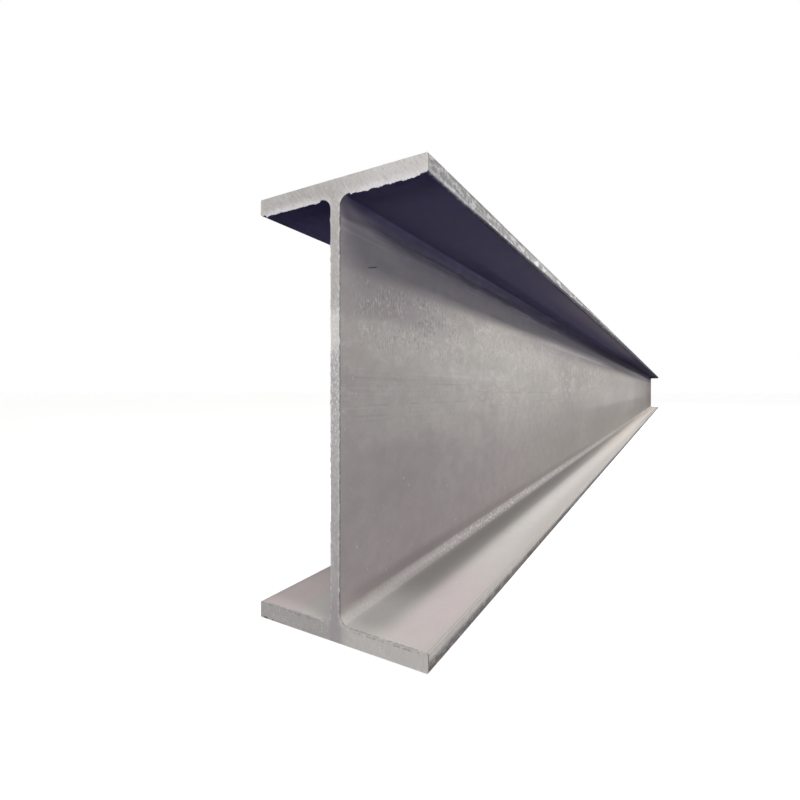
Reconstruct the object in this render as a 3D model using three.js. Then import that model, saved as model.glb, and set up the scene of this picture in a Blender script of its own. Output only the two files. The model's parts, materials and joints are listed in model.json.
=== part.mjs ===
// Hot-rolled steel I-beam with parallel flanges, 406 x 178 x 74 kg/m universal beam,
// saw-cut to a mill supply length. One piece of stock, lying with its web upright.
// Millimetres: +X along the length, +Y across the flanges, +Z up through the depth.
import * as THREE from "three";

// Section
const DEPTH = 412.8; // over both flanges
const FLANGE_WIDTH = 179.5;
const WEB_THICKNESS = 9.5;
const FLANGE_THICKNESS = 16;
const ROOT_RADIUS = 10.2; // fillet where the web runs into each flange
const INNER_TOE_RADIUS = 2; // rounded arris of the flange edge, on the web side
const OUTER_TOE_RADIUS = 0.8; // the same on the outer face

// Stock
const LENGTH = 7500;

const ARC_DIVISIONS = 4; // each quarter arc is drawn with twice this many chords

const STEEL = new THREE.MeshStandardMaterial({
  name: "rolled_steel",
  color: 0x8d898a,
  roughness: 0.45,
  metalness: 0.9,
});

// Quarter arc of the outline about the corner (y, z), from one angle to the next in
// quarter turns; "hollow" is true for a fillet, which turns the other way.
function quarterArc(shape, y, z, radius, fromQuarter, hollow) {
  const start = (fromQuarter * Math.PI) / 2;
  const end = start + (hollow ? -Math.PI / 2 : Math.PI / 2);
  shape.absarc(y, z, radius, start, end, hollow);
}

// The I outline, drawn anticlockwise from the bottom face, centred on the web.
function beamSection() {
  const halfWidth = FLANGE_WIDTH / 2;
  const halfWeb = WEB_THICKNESS / 2;
  const lowerInner = FLANGE_THICKNESS;
  const upperInner = DEPTH - FLANGE_THICKNESS;
  const rInner = INNER_TOE_RADIUS;
  const rOuter = OUTER_TOE_RADIUS;
  const root = ROOT_RADIUS;
  const shape = new THREE.Shape();
  shape.moveTo(-halfWidth + rOuter, 0);
  // Bottom flange, right-hand toe
  quarterArc(shape, halfWidth - rOuter, rOuter, rOuter, 3, false);
  quarterArc(shape, halfWidth - rInner, lowerInner - rInner, rInner, 0, false);
  // Right-hand side of the web, between its two fillets
  quarterArc(shape, halfWeb + root, lowerInner + root, root, 3, true);
  quarterArc(shape, halfWeb + root, upperInner - root, root, 2, true);
  // Top flange, both toes
  quarterArc(shape, halfWidth - rInner, upperInner + rInner, rInner, 3, false);
  quarterArc(shape, halfWidth - rOuter, DEPTH - rOuter, rOuter, 0, false);
  quarterArc(shape, -halfWidth + rOuter, DEPTH - rOuter, rOuter, 1, false);
  quarterArc(shape, -halfWidth + rInner, upperInner + rInner, rInner, 2, false);
  // Left-hand side of the web
  quarterArc(shape, -halfWeb - root, upperInner - root, root, 1, true);
  quarterArc(shape, -halfWeb - root, lowerInner + root, root, 0, true);
  // Bottom flange, left-hand toe
  quarterArc(shape, -halfWidth + rInner, lowerInner - rInner, rInner, 1, false);
  quarterArc(shape, -halfWidth + rOuter, rOuter, rOuter, 2, false);
  shape.closePath();
  return shape;
}

// The outline swept along the length, with X = 0 at mid-length and Z = 0 on the floor.
function rolledLength() {
  const geometry = new THREE.ExtrudeGeometry(beamSection(), {
    depth: LENGTH,
    steps: 1,
    bevelEnabled: false,
    curveSegments: ARC_DIVISIONS,
  });
  const alongX = new THREE.Vector3(1, 0, 0);
  const acrossY = new THREE.Vector3(0, 1, 0);
  const upZ = new THREE.Vector3(0, 0, 1);
  geometry.applyMatrix4(new THREE.Matrix4().makeBasis(acrossY, upZ, alongX));
  geometry.translate(-LENGTH / 2, 0, 0);
  return geometry;
}

const group = new THREE.Group();
const beam = new THREE.Mesh(rolledLength(), STEEL);
beam.name = "i_beam";
group.add(beam);

export default group;
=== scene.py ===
"""Looks of a hot-rolled steel I-beam with saw-cut ends, lying on a studio floor.

The beam is one piece of stock. Its skin is a closed mesh swept along the rolled section, with the
slight waviness that rolling leaves, and each end carries the torn burr and the arc marks of the
mill saw. A finish is a plain tone with soft-edged layers laid over it in order. Lengths are in
metres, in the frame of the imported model, unless a name ends in _mm.
"""

from __future__ import annotations

import json
import logging
import math
from dataclasses import dataclass, field, replace
from enum import Enum, IntEnum

import bpy
import numpy as np
from mathutils import Matrix, Vector, noise
from mathutils.geometry import delaunay_2d_cdt

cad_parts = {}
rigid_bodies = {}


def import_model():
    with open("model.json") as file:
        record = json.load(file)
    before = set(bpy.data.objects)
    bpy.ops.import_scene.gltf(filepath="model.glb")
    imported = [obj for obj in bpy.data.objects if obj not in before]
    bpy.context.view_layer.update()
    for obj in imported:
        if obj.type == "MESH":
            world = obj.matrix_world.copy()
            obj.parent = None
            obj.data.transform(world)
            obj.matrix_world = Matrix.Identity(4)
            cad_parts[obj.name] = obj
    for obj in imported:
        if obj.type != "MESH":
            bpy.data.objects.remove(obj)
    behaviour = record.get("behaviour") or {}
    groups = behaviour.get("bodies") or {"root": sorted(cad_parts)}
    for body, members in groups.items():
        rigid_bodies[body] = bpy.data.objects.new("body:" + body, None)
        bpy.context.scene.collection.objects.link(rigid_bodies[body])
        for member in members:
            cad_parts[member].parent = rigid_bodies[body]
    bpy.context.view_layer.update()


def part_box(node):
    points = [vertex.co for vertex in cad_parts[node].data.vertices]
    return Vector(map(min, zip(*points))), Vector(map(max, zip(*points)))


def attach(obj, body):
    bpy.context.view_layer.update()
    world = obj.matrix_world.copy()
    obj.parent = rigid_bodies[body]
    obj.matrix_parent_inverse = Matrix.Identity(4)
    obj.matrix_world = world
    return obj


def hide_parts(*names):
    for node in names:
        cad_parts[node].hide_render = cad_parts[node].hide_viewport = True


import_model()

LOG = logging.getLogger("i_beam")
NODE = "i_beam"
BODY = "root"

MM = 0.001
Socket = bpy.types.NodeSocket
Range = tuple[float, float]

# Name of the mesh attribute that says how brightly the saw has torn each point: bright bare steel,
# with a painted highlight on it
TORN_MARK = "torn"

# Sockets of Blender's Mix node when it mixes colours
MIX_A = 6
MIX_B = 7
MIX_RESULT = 2


class Finish(IntEnum):
    """Material index of each finish on the beam's mesh."""

    SCALE = 0
    EDGE = 1
    SAWN = 2
    SINGED = 3


class Zone(IntEnum):
    """Stretch of the rolled outline that a point belongs to."""

    BOTTOM = 0
    TIP = 1
    SEAT = 2
    ROOT = 3
    WEB = 4
    UNDERSIDE = 5
    TOP = 6


class End(Enum):
    """The two saw-cut ends, by the direction in which each one faces."""

    NEAR = -1
    FAR = 1


class Meet(Enum):
    """How two masks meet, by Blender's name for the sum that does it."""

    ALL = "MULTIPLY"
    ANY = "MAXIMUM"


def linear(hex_colour: str) -> tuple[float, float, float, float]:
    """Turns an sRGB hex colour into Blender's linear colour.

    Args:
        hex_colour: six hex digits, with or without a leading #.

    Returns:
        Linear red, green, blue and an alpha of 1.
    """
    digits = hex_colour.lstrip("#")
    channels = []
    for start in (0, 2, 4):
        value = int(digits[start : start + 2], 16) / 255
        low = value / 12.92
        high = ((value + 0.055) / 1.055) ** 2.4
        channels.append(low if value <= 0.04045 else high)
    return (*channels, 1.0)


def add_node(
    tree: bpy.types.NodeTree, kind: str, inputs: dict | None = None, **settings: object
) -> bpy.types.Node:
    """Adds one node with its settings, socket values and links.

    Args:
        tree: the node tree that gets the node.
        kind: Blender's type name of the node.
        inputs: socket name or index to a value, or to the output socket that feeds it.
        settings: attributes of the node itself.

    Returns:
        The new node.
    """
    made = tree.nodes.new(kind)
    for name, value in settings.items():
        setattr(made, name, value)
    for key, value in (inputs or {}).items():
        if isinstance(value, Socket):
            tree.links.new(value, made.inputs[key])
        else:
            made.inputs[key].default_value = value
    return made


class Surface:
    """One material in the making: its shader, its nodes and the masks that it has so far."""

    def __init__(self, name: str, roughness: float, gloss: float, cut: float) -> None:
        """Starts the material.

        Args:
            name: the material's name.
            roughness: roughness of the whole surface.
            gloss: specular level of the whole surface.
            cut: where the near cut is along the beam.
        """
        self.material = bpy.data.materials.new(name)
        self.material.use_nodes = True
        self.tree = self.material.node_tree
        self.shader = self.tree.nodes["Principled BSDF"]
        self.shader.inputs["Roughness"].default_value = roughness
        # An oxide skin is no metal, and the cut is scored too finely to mirror anything
        self.shader.inputs["Metallic"].default_value = 0.0
        self.shader.inputs["Specular IOR Level"].default_value = gloss
        self.cut = cut
        self.made: dict[Mask, Socket] = {}

    def socket(self, mask: Mask) -> Socket:
        """Gives a mask's output, and adds its nodes the first time that it is asked for.

        Args:
            mask: what to measure or mask by.

        Returns:
            The output socket.
        """
        if mask not in self.made:
            self.made[mask] = mask.add(self)
        return self.made[mask]


class Mask:
    """Anything that a layer of tone can be measured or masked by."""

    def add(self, surface: Surface) -> Socket:
        """Adds its nodes to a material.

        Args:
            surface: the material in the making.

        Returns:
            The output socket.
        """
        raise NotImplementedError

    def over(self, *edges: float, ends: Range = (0, 1)) -> Stretch:
        """Makes a soft-edged stretch of this measure.

        Args:
            edges: where the stretch is 0 and where it is 1, and then, if it stops again, where
                it is back at 0 and where it is still 1.
            ends: what it is in place of 0 and 1.

        Returns:
            The stretch.
        """
        return Stretch(self, edges[:2], edges[2:], ends)

    def about(self, middle: float, half: float, soft: float = 0.4) -> Stretch:
        """Makes a short stretch of this measure.

        Args:
            middle: where its middle is.
            half: half of its length.
            soft: share of that half over which each side fades, both ways.

        Returns:
            The stretch.
        """
        inner, outer = half * (1 - soft), half * (1 + soft)
        return self.over(middle - outer, middle - inner, middle + outer, middle + inner)

    def __and__(self, other: Mask) -> Patch:
        """Gives the place where both masks are."""
        return Patch(self, other, Meet.ALL)

    def __or__(self, other: Mask) -> Patch:
        """Gives the place where either mask is."""
        return Patch(self, other, Meet.ANY)


class Where(Mask, Enum):
    """Where a point of the steel is, or how it is turned."""

    PLACE = "the object position, as a vector"
    ROUND_BLADE = "how far from the saw blade's centre and at what angle, as a vector"
    ALONG = "distance from the near cut"
    ACROSS = "distance from the web's middle, left positive"
    OFF_WEB = "distance from the web's middle on either side"
    HEIGHT = "height over the floor"
    OFF_CORNER = "distance from the sharp corner that the bottom root fillet rounds off"
    FACING = "1 on a face that looks up, -1 on one that looks down"
    TORN = "how brightly the saw has torn the steel"

    def add(self, surface: Surface) -> Socket:
        """Adds the nodes that measure it.

        Args:
            surface: the material in the making.

        Returns:
            The output socket.
        """
        tree, socket = surface.tree, surface.socket
        if self is Where.PLACE:
            return add_node(tree, "ShaderNodeTexCoord").outputs["Object"]
        if self is Where.ROUND_BLADE:
            return self.swing(surface)
        if self is Where.OFF_WEB:
            across = {0: socket(Where.ACROSS)}
            return add_node(tree, "ShaderNodeMath", across, operation="ABSOLUTE").outputs[0]
        if self is Where.OFF_CORNER:
            spot = {"Y": socket(Where.OFF_WEB), "Z": socket(Where.HEIGHT)}
            flat = add_node(tree, "ShaderNodeCombineXYZ", spot).outputs[0]
            ends = {0: flat, 1: (0.0, RolledSection.web / 2, RolledSection.flange)}
            return add_node(tree, "ShaderNodeVectorMath", ends, operation="DISTANCE").outputs[1]
        if self is Where.FACING:
            normal = {0: add_node(tree, "ShaderNodeNewGeometry").outputs["Normal"]}
            return add_node(tree, "ShaderNodeSeparateXYZ", normal).outputs["Z"]
        if self is Where.TORN:
            marks = {"attribute_name": TORN_MARK, "attribute_type": "GEOMETRY"}
            return add_node(tree, "ShaderNodeAttribute", **marks).outputs["Fac"]
        sides = add_node(tree, "ShaderNodeSeparateXYZ", {0: socket(Where.PLACE)}).outputs
        if self is Where.ALONG:
            past = {0: sides["X"], 1: surface.cut}
            return add_node(tree, "ShaderNodeMath", past, operation="SUBTRACT").outputs[0]
        return sides["Y" if self is Where.ACROSS else "Z"]

    @staticmethod
    def swing(surface: Surface) -> Socket:
        """Adds the nodes that follow the swing of the saw's teeth.

        Args:
            surface: the material in the making.

        Returns:
            A vector socket: the distance from the blade's centre, then the angle.
        """
        tree, centre = surface.tree, (0.0, *SawnSteel.blade_centre)
        spoke = {0: surface.socket(Where.PLACE), 1: centre}
        spoke = add_node(tree, "ShaderNodeVectorMath", spoke, operation="SUBTRACT")
        sides = add_node(tree, "ShaderNodeSeparateXYZ", {0: spoke.outputs[0]}).outputs
        flat = add_node(tree, "ShaderNodeCombineXYZ", {"Y": sides["Y"], "Z": sides["Z"]})
        reach = {0: flat.outputs[0]}
        reach = add_node(tree, "ShaderNodeVectorMath", reach, operation="LENGTH").outputs["Value"]
        angle = {0: sides["Z"], 1: sides["Y"]}
        angle = add_node(tree, "ShaderNodeMath", angle, operation="ARCTAN2").outputs[0]
        return add_node(tree, "ShaderNodeCombineXYZ", {"X": reach, "Y": angle}).outputs[0]


PLACE, ROUND_BLADE, ALONG, ACROSS, OFF_WEB, HEIGHT, OFF_CORNER, FACING, TORN = Where


@dataclass(frozen=True)
class Stretch(Mask):
    """A soft-edged stretch: 0 to 1 as a measure crosses one range, and back over another."""

    of: Mask
    rise: tuple[float, ...]
    fall: tuple[float, ...]
    ends: Range

    def add(self, surface: Surface) -> Socket:
        """Adds its nodes to a material.

        Args:
            surface: the material in the making.

        Returns:
            The output socket.
        """
        if self.fall:
            return surface.socket(self.of.over(*self.rise) & self.of.over(*self.fall))
        edges = dict(zip(("From Min", "From Max"), self.rise))
        edges |= dict(zip(("To Min", "To Max"), self.ends))
        edges["Value"] = surface.socket(self.of)
        return add_node(
            surface.tree, "ShaderNodeMapRange", edges, interpolation_type="SMOOTHSTEP"
        ).outputs["Result"]


@dataclass(frozen=True)
class Patch(Mask):
    """A place on the steel where two masks meet."""

    first: Mask
    second: Mask
    meet: Meet

    def add(self, surface: Surface) -> Socket:
        """Adds its nodes to a material, and gives the output socket."""
        pair = {0: surface.socket(self.first), 1: surface.socket(self.second)}
        return add_node(surface.tree, "ShaderNodeMath", pair, operation=self.meet.value).outputs[0]


@dataclass(frozen=True)
class Pushed(Mask):
    """A measure that another mask pushes up, by so much for every 1 of its own."""

    of: Mask
    by: Mask
    amount: float

    def add(self, surface: Surface) -> Socket:
        """Adds its nodes to a material, and gives the output socket."""
        terms = {0: surface.socket(self.by), 1: self.amount, 2: surface.socket(self.of)}
        return add_node(surface.tree, "ShaderNodeMath", terms, operation="MULTIPLY_ADD").outputs[0]


@dataclass(frozen=True)
class Grain(Mask):
    """A noise pattern with a real size, stretched along some of the beam's axes."""

    size_mm: float
    stretch: tuple[float, float, float]
    detail: float
    roughness: float
    # The values of the noise that become 0 and 1, or none for the noise as it is
    spread: tuple[float, ...]
    over_what: Where = PLACE

    def add(self, surface: Surface) -> Socket:
        """Adds its nodes to a material.

        Args:
            surface: the material in the making.

        Returns:
            The output socket.
        """
        if self.spread:
            return surface.socket(replace(self, spread=()).over(*self.spread))
        squeeze = {
            "Vector": surface.socket(self.over_what),
            "Scale": tuple(1 / times for times in self.stretch),
        }
        clouds = {
            "Vector": add_node(surface.tree, "ShaderNodeMapping", squeeze).outputs[0],
            "Scale": 1 / (self.size_mm * MM),
            "Detail": self.detail,
            "Roughness": self.roughness,
        }
        return add_node(surface.tree, "ShaderNodeTexNoise", clouds).outputs["Fac"]


@dataclass(frozen=True)
class Layer:
    """One tone, laid over those before it where its mask is."""

    name: str
    tone: str
    strength: float = 1.0
    mask: Mask | None = None
    # Layers that vary its own tone before it is laid
    own: tuple[Layer, ...] = ()

    def colour(self, surface: Surface) -> Socket | tuple[float, ...]:
        """Works out the layer's own colour.

        Args:
            surface: the material in the making.

        Returns:
            Its tone, or the socket that gives it with its own layers on it.
        """
        colour = linear(self.tone)
        for layer in self.own:
            share = {0: surface.socket(layer.mask), 1: layer.strength}
            share = add_node(surface.tree, "ShaderNodeMath", share, operation="MULTIPLY")
            mix = {0: share.outputs[0], MIX_A: colour, MIX_B: layer.colour(surface)}
            colour = add_node(
                surface.tree, "ShaderNodeMix", mix, data_type="RGBA", label=layer.name
            ).outputs[MIX_RESULT]
        return colour


@dataclass(frozen=True)
class SteelFinish:
    """What every finish of the beam has: a name, a shine and layers of tone."""

    name: str
    roughness: float
    gloss: float
    # How strongly, and over how many metres, the relief stands out
    bump: float = 0.0
    bump_depth: float = 0.0

    def layers(self) -> Layer:
        """Gives the plain tone with all the layers on it."""
        raise NotImplementedError

    def relief(self) -> Mask | None:
        """Gives the mask whose high places stand proud, if there is one."""
        return None

    def build(self, cut: float) -> bpy.types.Material:
        """Makes the material.

        Args:
            cut: where the near cut is along the beam.

        Returns:
            The finished Blender material.
        """
        surface = Surface(self.name, self.roughness, self.gloss, cut)
        tree, shader = surface.tree, surface.shader
        tree.links.new(self.layers().colour(surface), shader.inputs["Base Color"])
        relief = self.relief()
        if relief:
            heights = {
                "Height": surface.socket(relief),
                "Strength": self.bump,
                "Distance": self.bump_depth,
            }
            bump = add_node(tree, "ShaderNodeBump", heights)
            tree.links.new(bump.outputs[0], shader.inputs["Normal"])
        return surface.material


@dataclass(frozen=True)
class MillScale(SteelFinish):
    """Mill scale on hot-rolled structural steel.

    The iron oxide that forms as the bar cools off the rolls. It is thin and tight, so the eye sees
    a dull warm grey, rubbed paler and pebbled in patches on the web, with faint lines along the
    bar and pale flecks in the roots where flakes have come away. Painted shade darkens it to a
    blue-violet under the flanges, on the top of the web and on the seat beside the web, and
    painted light pales the bottom root fillet and parts of the web.
    """

    name: str = "hot_rolled_mill_scale"
    roughness: float = 0.8
    gloss: float = 0.012
    bump: float = 0.5
    bump_depth: float = 0.16 * MM
    # Tones that more than one layer has
    cloud: str = "8C8888"
    smudge: str = "CBCAC6"
    fleck: str = "EDE9E9"
    pit: str = "6A6666"
    crook: str = "BCB9C0"
    brim: str = "7E7C79"
    painted_gloom: str = "28263A"
    # Patterns, from clouds of a hand's width down to specks of a few millimetres. Real flakes
    # are under a millimetre, too fine to show, so they are drawn at 2 to 3 mm.
    clouds: Grain = Grain(140, (5, 1, 1), 4, 0.5, (0.36, 0.66))
    blush: Grain = Grain(110, (2.2, 1, 1), 2, 0.5, (0.2, 0.45))
    patches: Grain = Grain(70, (3.2, 1, 1), 5, 0.62, (0.46, 0.62))
    pebbles: Grain = Grain(34, (1.8, 1, 1.2), 4, 0.6, (0.40, 0.54))
    mottle: Grain = Grain(17, (1.5, 1, 1), 5, 0.6, (0.36, 0.64))
    folds: Grain = Grain(34, (3.5, 1, 1), 5, 0.66, (0.3, 0.7))
    pebble: Grain = Grain(2.6, (1, 1, 1.5), 3, 0.6, (0.35, 0.68))
    chips: Grain = Grain(2.7, (1, 1, 2.0), 2, 0.5, (0.54, 0.66))
    pits: Grain = Grain(3.1, (1, 1, 1.8), 2, 0.5, (0.58, 0.70))
    specks: Grain = Grain(6.5, (1, 1, 1), 1, 0.5, (0.74, 0.80))
    smudges: Grain = Grain(12, (3.2, 1, 1.2), 4, 0.62, (0.52, 0.64))
    hues: Grain = Grain(85, (1.6, 1, 1), 3, 0.5, (0.4, 0.62))
    creases: Grain = Grain(5.5, (34, 1, 1), 3, 0.6, (0.5, 0.62))
    lines: Grain = Grain(4.2, (230, 1, 1), 2, 0.5, (0.53, 0.64))
    dark_lines: Grain = Grain(5.3, (170, 1, 1), 2, 0.5, (0.55, 0.66))
    # A nick from handling in the web: where its middle is along and up, its half length and
    # half width, and its slope
    nick_at: tuple[float, float] = (58.5 * MM, 345 * MM)
    nick_half: tuple[float, float] = (8.5 * MM, 0.7 * MM)
    nick_slope: float = 0.23
    # How fast the painted shade band under the top flange deepens along the beam, in metres a
    # metre
    hood_fall: float = 0.004
    # How much higher that band starts once it is clear of the near end
    shade_lift: float = 12 * MM
    # How far the folds in the scale carry the edge of a shade
    fold_depth: float = 6 * MM
    # Where the look of the root starts and is full, in radii of the fillet from its corner
    root_reach: Range = (1.42, 0.93)

    def rubbed(self) -> Mask:
        """Gives the patches high on the web where other beams have rubbed it."""
        up, along = HEIGHT.over(0.12, 0.26, 0.342, 0.327), ALONG.over(0.04, 0.15, 2.35, 1.15)
        return self.patches & up & along

    def flaked(self) -> Mask:
        """Gives the rubbed and the pebbled patches, where flakes have come away."""
        up, along = HEIGHT.over(0.25, 0.275, 0.338, 0.328), ALONG.over(0.01, 0.05, 0.85, 0.45)
        return self.rubbed() | (self.pebbles & up & along)

    def root(self) -> Mask:
        """Gives the fillet between the web and the bottom flange."""
        reach = (RolledSection.root * share for share in self.root_reach)
        return OFF_CORNER.over(*reach) & FACING.over(0.95, 0.8)

    def sparkle(self) -> Mask:
        """Gives the part of that fillet where bright flecks show."""
        past_cut = ALONG.over(0.15, 0.35, ends=(0.15, 1))
        return self.root() & past_cut & FACING.over(0.5, 0.8, ends=(1, 0.45))

    def relief(self) -> Mask:
        """Gives the pebbling, which stands out most where the scale is worn."""
        return self.pebble & (self.flaked() | self.sparkle()).over(0, 1, ends=(0.25, 1))

    def layers(self) -> Layer:
        """Colours the whole skin.

        Returns:
            The web's tone, then the faces that look up and down, the roots and the wear.
        """
        upwards, downwards = FACING.over(0.45, 0.9), FACING.over(-0.85, -0.97)
        # Painted highlight: the bottom root fillet is paler, less so where it flattens into the
        # seat
        root_layers = (
            Layer("root further on", "AAA6A2", 1.0, ALONG.over(0.65, 1.45)),
            Layer("root at the cut", "ACA8A5", 1.0, ALONG.over(0.15, 0.07)),
            Layer("root low down", "A6A3A2", 1.0, FACING.over(0.45, 0.75)),
        )
        over_all = (
            Layer("seat", "969492", 1.0, upwards, self.seat_layers()),
            # Faces that look down get painted shade, darker and blue-violet
            Layer("ceiling", "828097", 1.0, downwards, self.ceiling_layers()),
            Layer("root", "BBB6B7", 0.85, self.root(), root_layers),
            Layer("mottle", self.cloud, 0.19, self.mottle),
            Layer("pocks", self.pit, 0.07, self.pebble & ALONG.over(1.55, 0.75)),
            Layer("flecks", self.fleck, 0.27, self.chips & self.flaked()),
            Layer("pits", self.pit, 0.45, self.pits & self.flaked()),
            Layer("root sparkle", self.fleck, 0.8, self.chips & self.sparkle()),
            Layer("root pits", self.pit, 0.35, self.pits & self.sparkle()),
        )
        return Layer("web", "ADA9A3", own=self.web_layers() + self.hood_layers() + over_all)

    def web_layers(self) -> tuple[Layer, ...]:
        """Colours the upright faces up to the shade of the top flange.

        Returns:
            The layers over the web's plain tone.
        """
        near = ALONG.over(-0.05, 0.07, 1.2, 0.5) & HEIGHT.over(0.325, 0.28)
        further = Layer("foot further on", "A9A49F", 1.0, ALONG.over(0.35, 0.85))
        mauve = self.hues & HEIGHT.over(0.3, 0.2) & ALONG.over(0.85, 0.35)
        belt = HEIGHT.over(0.152, 0.174, 0.3, 0.17) & ALONG.over(1.05, 2.15, 5.95, 3.65)
        high_up = HEIGHT.over(0.16, 0.23, 0.335, 0.32)
        smudged = self.smudges & high_up & ALONG.over(2.85, 1.55, ends=(0.35, 1))
        rolled = HEIGHT.over(0.17, 0.215, 0.262, 0.24) & ALONG.over(1.55, 0.65) & self.pebbles
        specks = self.specks & HEIGHT.over(0.335, 0.3) & ALONG.over(1.75, 0.75)
        sheen_band = HEIGHT.over(0.234, 0.244, 0.262, 0.249) & ALONG.over(0.09, 0.30, 0.65, 0.45)
        gleam = HEIGHT.over(0.08, 0.12) & ALONG.over(2.65, 3.25, 4.45, 3.75)
        return (
            # Painted sheen: the web is paler near the cut, below the flange's shade
            Layer("near end", "BCB9B2", 1.0, near),
            Layer("foot", "A69F9F", 0.85, HEIGHT.over(0.215, 0.085), (further,)),
            Layer("mauve", "A8A09F", 0.5, mauve),
            Layer("belt", "C4C0BA", 0.85, belt),
            Layer("rubbed", "BEBBB4", 0.6, self.rubbed()),
            Layer("smudges", self.smudge, 0.48, smudged),
            Layer("clouds", self.cloud, 0.25, self.clouds),
            Layer("bright lines", self.smudge, 0.3, self.lines & rolled),
            Layer("dark lines", self.cloud, 0.26, self.dark_lines & rolled),
            Layer("specks", self.fleck, 0.28, specks),
            # Painted sheen: a pale band across the web near the cut
            Layer("sheen_band", self.smudge, 0.35, sheen_band),
            Layer("gleam", self.smudge, 0.2, gleam),
        )

    def hood_layers(self) -> tuple[Layer, ...]:
        """Colours the top of the web, with the top flange's shade painted on and lightened in
        places, and paints shade by the far cut.

        Returns:
            The layers over the web's own ones.
        """
        ragged = Pushed(HEIGHT, self.folds, self.fold_depth)
        lifted = Pushed(ragged, ALONG.over(0.35, 0.85), -self.shade_lift)
        by_the_cut = HEIGHT.over(0.28, 0.31) & ALONG.over(0.30, 0.13)
        shaded = lifted.over(0.331, 0.346) | by_the_cut
        shaded &= ALONG.over(1.35, 3.35, ends=(1, 0.15))
        shade_high = Layer("shade high up", "A9A7A9", 1.0, ragged.over(0.340, 0.352))
        painted_upper_shade = HEIGHT.over(0.295, 0.325, 0.345, 0.33) | HEIGHT.over(0.346, 0.358)
        brow = HEIGHT.over(0.328, 0.335, 0.355, 0.346) & ALONG.over(0.65, 1.0, 2.65, 1.75)
        nick_height = self.nick_at[1] - self.nick_slope * self.nick_at[0]
        nick_up = Pushed(HEIGHT, ALONG, -self.nick_slope).about(nick_height, self.nick_half[1])
        nick = ALONG.about(self.nick_at[0], self.nick_half[0]) & nick_up
        seam = HEIGHT.over(0.046, 0.034) & ALONG.over(0.005, 0.05, 1.85, 1.35)
        seam &= ALONG.over(0.17, 0.33, ends=(1, 0.65))
        painted_hood_shade = Pushed(ragged, ALONG, self.hood_fall).over(0.3785, 0.384)
        deep = Layer("painted hood shade deep in", "8C8990", 1.0, ALONG.over(0.13, 0.30, 1.45, 0.95))
        crook = ragged.over(0.385, 0.392) & ALONG.over(0.01, 0.06, 0.95, 0.25)
        creased = self.creases & ragged.over(0.366, 0.374) & ALONG.over(1.45, 0.75)
        return (
            # Painted shade of the top flange on the top of the web
            Layer("shade", "9F9A9A", 0.9, shaded, (shade_high,)),
            # Painted shade on the upper web further along
            Layer("painted eaves shade", "8B878B", 0.5, painted_upper_shade & ALONG.over(0.5, 1.0, 2.65, 1.85)),
            # Painted light: a paler band that lifts the edge of the painted shade further along
            Layer("brow", "D6D2D0", 0.45, brow),
            Layer("nick", "4A484B", 0.8, nick),
            Layer("seam", "807879", 0.5, seam),
            # Painted shade: the dark band right under the flange
            Layer("hood", "97949A", 1.0, painted_hood_shade, (deep,)),
            Layer("crook", self.crook, 1.0, crook),
            Layer("creases", self.crook, 0.6, creased),
            # Painted light: the shade on the upper web is lifted far along the beam
            Layer("tail", "CFCBC9", 0.8, HEIGHT.over(0.29, 0.33) & ALONG.over(2.95, 4.35)),
            # Painted shade: the web darker by the far cut
            Layer("painted shade by the far cut", "6E6264", 0.35, ALONG.over(5.65, 6.95)),
            # Painted shade under the flange, darker further along
            Layer("far painted hood shade", "302D40", 0.75, HEIGHT.over(0.359, 0.378) & ALONG.over(0.65, 2.15)),
        )

    def seat_layers(self) -> tuple[Layer, ...]:
        """Colours the faces that look up, with painted shade on the seat beside the web.

        Returns:
            The layers over the bottom flange's upper face, and the beam's top.
        """
        blush = self.blush & ALONG.over(0.27, 0.11) & OFF_WEB.over(0.036, 0.05)
        beside = OFF_WEB.over(0.050, 0.036) & ALONG.over(0.05, 0.15, 2.15, 0.85)
        lit = OFF_WEB.over(0.036, 0.044, 0.074, 0.054) & ALONG.over(0.15, 0.55, 2.05, 1.35)
        brink = OFF_WEB.over(0.080, 0.0865) & ALONG.over(2.15, 0.85)
        tail = OFF_WEB.over(0.056, 0.078) & ALONG.over(2.05, 4.15)
        return (
            Layer("blush", "989091", 0.9, blush),
            Layer("far seat", "A09B96", 1.0, ALONG.over(1.05, 2.55)),
            # Painted shade of the top flange on the seat beside the web
            Layer("painted shade beside the web", "7B7776", 0.5, beside),
            Layer("lit middle", "A6A4A2", 0.35, lit),
            Layer("outer seat", self.brim, 0.5, OFF_WEB.over(0.064, 0.084) & ALONG.over(0, 0.55)),
            # Painted shade that takes back the light the seat's outer edge catches
            Layer("brink", self.brim, 0.18, brink),
            Layer("far outer seat", self.brim, 0.6, tail),
            Layer("top of the beam", "7A7774", 1.0, HEIGHT.over(0.2, 0.3)),
        )

    def ceiling_layers(self) -> tuple[Layer, ...]:
        """Colours the faces that look down with painted shade, and paints light on them towards
        the flange edge.

        Returns:
            The layers over the top flange's underside.
        """
        outer = OFF_WEB.over(0.045, 0.085) & ALONG.over(0.35, 0.9, 3.25, 1.55)
        corner = OFF_WEB.over(0.038, 0.027) & ALONG.over(0.15, 0.40)
        far = OFF_WEB.over(0.07, 0.035) & ALONG.over(1.35, 3.35)
        return (
            # Painted light on the outer part, then painted shade by the web, at the cut and
            # further along
            Layer("painted light on outer ceiling", "B0AAAC", 0.75, outer),
            Layer("ceiling corner", "6A677F", 0.85, corner),
            Layer("ceiling at the cut", "6B697F", 0.9, ALONG.over(0.06, 0.02)),
            Layer("far corner", self.painted_gloom, 0.8, far),
            Layer("far ceiling", self.painted_gloom, 0.7, ALONG.over(1.85, 3.65)),
        )


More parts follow.
